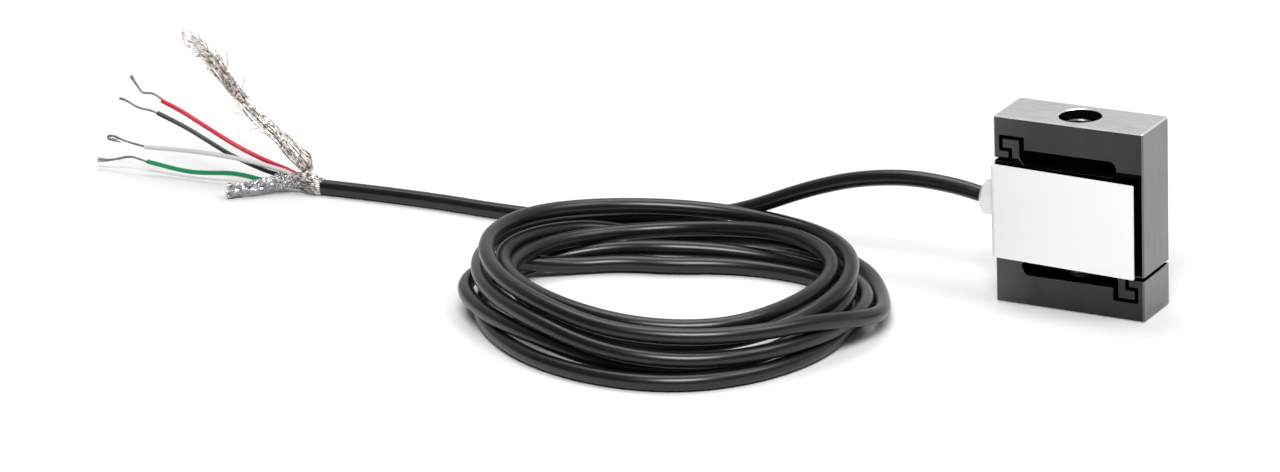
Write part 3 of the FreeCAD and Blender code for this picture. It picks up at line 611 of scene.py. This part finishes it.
# the braid: fine wires gathered at the jacket's end, drawn up to one side and frayed at the head
braid = {
    "rim": (-282.9, -5.4, 2.75),   # middle of the jacket's end
    "outward": (-0.996, -0.087, 0),
    "route": [(-286.6, -5.2, 5.6), (-287.4, -5.2, 8.6), (-290, -5.2, 11.4), (-295.6, -6, 16.2), (-301.3, -6.2, 21),
              (-307.6, -7, 26), (-313.2, -7.2, 32), (-317.8, -8, 38), (-321.6, -8.4, 43.6), (-326, -8.8, 47.6),
              (-332, -9, 50)],
    "width": [(0, 3.6), (0.1, 3.2), (0.22, 2.8), (0.36, 2.1), (0.5, 1.95), (0.62, 1.85), (0.74, 2.2), (0.84, 3.2),
              (0.92, 4), (1, 2.8)],
    "bundles": 27,
    "wiresEach": 6,
    "wire": 0.105,
    "hairs": 16,
    "wisp": [(-331, -8.8, 48), (-333.2, -9, 49), (-333.8, -9, 50.4), (-333.2, -9, 52), (-333.6, -9, 53.2)],
}


# one bundle of wires: over the rim of the jacket, out along the foil, back to the root and up the route
def braidBundle(route, chance, number):
    rim, outward = Vector(braid["rim"]), Vector(braid["outward"])
    start = math.tau * number / braid["bundles"]
    reach = chance.uniform(3.5, 11)
    sense = chance.choice((-1, 1)) * chance.uniform(0.2, 0.6) * math.tau
    depth = chance.uniform(0.02, 1) ** 0.5
    last = chance.uniform(0.8, 1.0)
    wires = []
    for each in range(braid["wiresEach"]):
        spread = Vector((chance.uniform(-1, 1), chance.uniform(-1, 1), chance.uniform(-1, 1))) * 0.26

        def ring(out, angle, radius):
            lift = 1.3 * min(1, out / 4)
            return rim + outward * out + Vector((0, math.cos(angle), lift / radius + math.sin(angle))) * radius + spread

        points = [ring(-0.8, start, 2.6), ring(0.4, start, 2.8)]
        points.append(ring(reach * 0.5, start + 0.25, chance.uniform(3, 3.9)))
        points.append(ring(reach, start + 0.5, chance.uniform(2.6, 3.6)))
        points.append(ring(reach * 0.85, start + 1.2, chance.uniform(2.4, 3.2)))
        points.append(ring(reach * 0.3 + 3, 1.2 + 0.5 * math.cos(start), chance.uniform(2.2, 3.4)))
        steps = 34
        for k in range(3, steps + 1):
            share = last * k / steps
            loose = max(0.0, share - 0.74) / 0.26
            wobble = noise.noise_vector(Vector((share * 9, number * 3.7, 0.5))) * 0.8
            curl = noise.noise_vector(Vector((share * 26, number * 5.3 + each * 0.23, 9.5))) * (5.0 * loose)
            place = route.at(share, level(braid["width"], share) * depth, start + sense * share)
            points.append(place + wobble + curl + spread * (1 + loose))
        wires.append(points)
    return wires


def looseHair(route, chance):
    share = chance.uniform(0.2, 0.95)
    angle = chance.uniform(0, math.tau)
    points = []
    for k in range(9):
        away = chance.uniform(0.6, 1.1) * (k / 8) ** 1.4 * 4.5
        points.append(route.at(share + 0.012 * k, 1.7 + away, angle + 0.16 * k))
    return points


def tornWire(foilLine, chance):
    share, angle, sense = chance.uniform(0.0, 0.3), chance.uniform(0, math.tau), chance.choice((-1, 1))
    points = []
    for k in range(9):
        wander = noise.noise_vector(Vector((k * 0.55, angle * 9, share * 31))) * 1.3
        points.append(foilLine.at(share + 0.02 * k, 2.7, angle + 0.3 * k * sense) + wander)
    return points


def makeBraid(foilLine):
    chance = random.Random(11)
    route = Route(braid["route"])
    wires = [wire for number in range(braid["bundles"]) for wire in braidBundle(route, chance, number)]
    wires += [looseHair(route, chance) for _ in range(braid["hairs"])]
    wires += [tornWire(foilLine, chance) for _ in range(44)]
    for number in range(7):
        drift = noise.noise_vector(Vector((number * 2.3, 0.4, 4.0))) * 0.9
        wires.append([Vector(p) + drift * (0.4 + 0.2 * k) for k, p in enumerate(braid["wisp"])])
    for wire in wires:
        for point in wire:
            point.z = max(point.z, 0.2)
    piece = smoothCurve("braid", wires, braid["wire"], sides=0)
    piece.data.resolution_u = 3
    dress(piece, finishes["braidWire"])
    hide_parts("braid_shield")
    return piece


# the foil wrap: thin sheet crumpled round the cores and torn open at its end
foil = {
    "route": [(-288.5, -5.2, 3.6), (-294.5, -8, 4.6), (-298.6, -12, 4.3), (-302.6, -15.8, 3.5), (-307, -18.8, 2.8),
              (-311.2, -21.2, 2.4)],
    "radius": 2.3,
    "rings": 64,
    "facets": 36,
}


def makeFoil(foilLine):
    mesh = bpy.data.meshes.new("foilWrap")
    shape = bmesh.new()
    rows = []
    for i in range(foil["rings"] + 1):
        row = []
        for j in range(foil["facets"]):
            angle = math.tau * j / foil["facets"]
            torn = 0.06 * noise.noise(Vector((math.cos(angle) * 1.6, math.sin(angle) * 1.6, 3))) * i / foil["rings"]
            share = i / foil["rings"] + torn
            crease = abs(noise.noise(Vector((share * 7, math.cos(angle) * 1.6, math.sin(angle) * 1.6))))
            fine = noise.noise(Vector((share * 24, math.cos(angle) * 4.5, math.sin(angle) * 4.5)))
            flare = 0.3 * max(0, share - 0.84) / 0.16
            out = foil["radius"] * (0.98 - 0.55 * crease + 0.2 * fine + flare)
            spot = foilLine.at(share, out, angle)
            spot.z = max(spot.z, 0.15)
            row.append(shape.verts.new(spot * mm))
        rows.append(row)
    for upper, lower in zip(rows, rows[1:]):
        for j in range(foil["facets"]):
            k = (j + 1) % foil["facets"]
            shape.faces.new((upper[j], upper[k], lower[k], lower[j]))
    shape.to_mesh(mesh)
    shape.free()
    piece = bpy.data.objects.new("foilWrap", mesh)
    bpy.context.collection.objects.link(piece)
    skin = piece.modifiers.new("thickness", "SOLIDIFY")
    skin.thickness = 0.08 * mm
    dress(piece, finishes["foil"])
    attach(piece, "root")
    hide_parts("foil_shield")
    return piece


foilLine = Route(foil["route"])
foilPiece = makeFoil(foilLine)
braidPiece = makeBraid(foilLine)

say("threads")
# the ridge of the thread in each load hole
thread = {"bore": 5.12, "crest": 4.82, "pitch": 1.75, "start": 2.2, "turns": 6, "spokes": 48}


def makeThread(name, mouth, sense):
    mesh = bpy.data.meshes.new(name)
    shape = bmesh.new()
    rows = []
    for k in range(thread["turns"] * thread["spokes"] + 1):
        angle = math.tau * k / thread["spokes"]
        depth = thread["start"] + thread["pitch"] * k / thread["spokes"]
        fade = min(1, k / 12, (thread["turns"] * thread["spokes"] - k) / 12)
        row = []
        for lift, shift in ((0, -0.62), (1, -0.1), (1, 0.1), (0, 0.62)):
            out = thread["bore"] - (thread["bore"] - thread["crest"]) * lift * fade
            z = mouth + sense * (depth + shift)
            row.append(shape.verts.new(Vector((out * math.cos(angle), sense * out * math.sin(angle), z)) * mm))
        rows.append(row)
    for near, far in zip(rows, rows[1:]):
        for i in range(4):
            k = (i + 1) % 4
            shape.faces.new((near[i], near[k], far[k], far[i]))
    shape.faces.new(rows[0])
    shape.faces.new(rows[-1])
    bmesh.ops.recalc_face_normals(shape, faces=shape.faces)
    shape.to_mesh(mesh)
    shape.free()
    piece = bpy.data.objects.new(name, mesh)
    bpy.context.collection.objects.link(piece)
    dress(piece, finishes["thread"])
    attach(piece, "root")


makeThread("upperThread", 62.0, -1)
makeThread("lowerThread", 0.0, 1)

say("carried-over pieces")
for name, finish in {
    "spring_element": "blackNickel", "cover": "satinSheet", "front_cover_seal": "sealant", "rear_cover_seal": "sealant",
    "front_potting": "sealant", "rear_potting": "sealant", "gland_body": "nickel", "gland_washer": "sealant",
    "gland_seal": "sealant", "inner_core_red": "red", "inner_core_black": "black",
    "inner_core_white": "white", "inner_core_green": "green", "gauge_upper_left": "gauge", "gauge_upper_right": "gauge",
    "gauge_lower_left": "gauge", "gauge_lower_right": "gauge", "terminal_board": "board",
    "compensation_resistor": "chip", "gauge_wiring": "lacquer",
}.items():
    dress(nodes[name], finishes[finish])

# a pale floor painted darker round the cell as shade, a bright wall of soft light behind, and softboxes overhead
studio = {
    "ahead": 0.1,    # strength of the sky on the viewer's side
    "behind": 0.7,   # and behind the cell
    "softboxes": [
        {"name": "overhead", "at": (-0.5, 0.4, 1.5), "size": (1.2, 1.0), "watts": 13.0},
        {"name": "right", "at": (0.75, 0.0, 1.35), "size": (0.6, 0.8), "watts": 8.0},
        {"name": "front", "at": (0.3, -0.95, 1.25), "size": (0.7, 0.5), "watts": 24.0},
    ],
    "aim": (-0.08, -0.03, 0.02),
}


def setStudio():
    world = bpy.data.worlds.new("studio")
    world.use_nodes = True
    tree = world.node_tree
    sky = next(n for n in tree.nodes if n.type == "BACKGROUND")
    way = tree.nodes.new("ShaderNodeTexCoord")
    depth = tree.nodes.new("ShaderNodeSeparateXYZ")
    level = tree.nodes.new("ShaderNodeMapRange")
    level.inputs["From Min"].default_value = -0.4
    level.inputs["From Max"].default_value = 0.8
    level.inputs["To Min"].default_value = studio["ahead"]
    level.inputs["To Max"].default_value = studio["behind"]
    tree.links.new(way.outputs["Generated"], depth.inputs[0])
    tree.links.new(depth.outputs["Y"], level.inputs["Value"])
    tree.links.new(level.outputs[0], sky.inputs[1])
    sky.inputs[0].default_value = (1, 1, 1, 1)
    bpy.context.scene.world = world
    bpy.context.scene.view_settings.view_transform = "Standard"

    mesh = bpy.data.meshes.new("floor")
    reach = 6.0
    mesh.from_pydata([(-reach, -reach, 0), (reach, -reach, 0), (reach, reach, 0), (-reach, reach, 0)], [], [(0, 1, 2, 3)])
    floor = bpy.data.objects.new("floor", mesh)
    bpy.context.collection.objects.link(floor)
    paper = Finish("floorShadedRoundCell", roughness=0.9)
    across, along = ((paper.place() + (170, 60, 0)).part(axis) / 900.0 for axis in "XY")
    # painted shade: the floor's colour is darker within about a quarter metre of the cell and pale further out
    away = paper.ramp(across * across + along * along, [(0.08, 0.0), (0.4, 1.0)])
    paper.feed(baseColor=paper.blend(away, (0.67, 0.67, 0.67), (0.93, 0.93, 0.93)))
    dress(floor, paper)

    for box in studio["softboxes"]:
        light = bpy.data.lights.new(box["name"], "AREA")
        light.shape = "RECTANGLE"
        light.size, light.size_y = box["size"]
        light.energy = box["watts"]
        lamp = bpy.data.objects.new(box["name"], light)
        lamp.location = box["at"]
        lamp.rotation_euler = (Vector(studio["aim"]) - lamp.location).to_track_quat("-Z", "Y").to_euler()
        bpy.context.collection.objects.link(lamp)


say("studio")
setStudio()

say("measures")
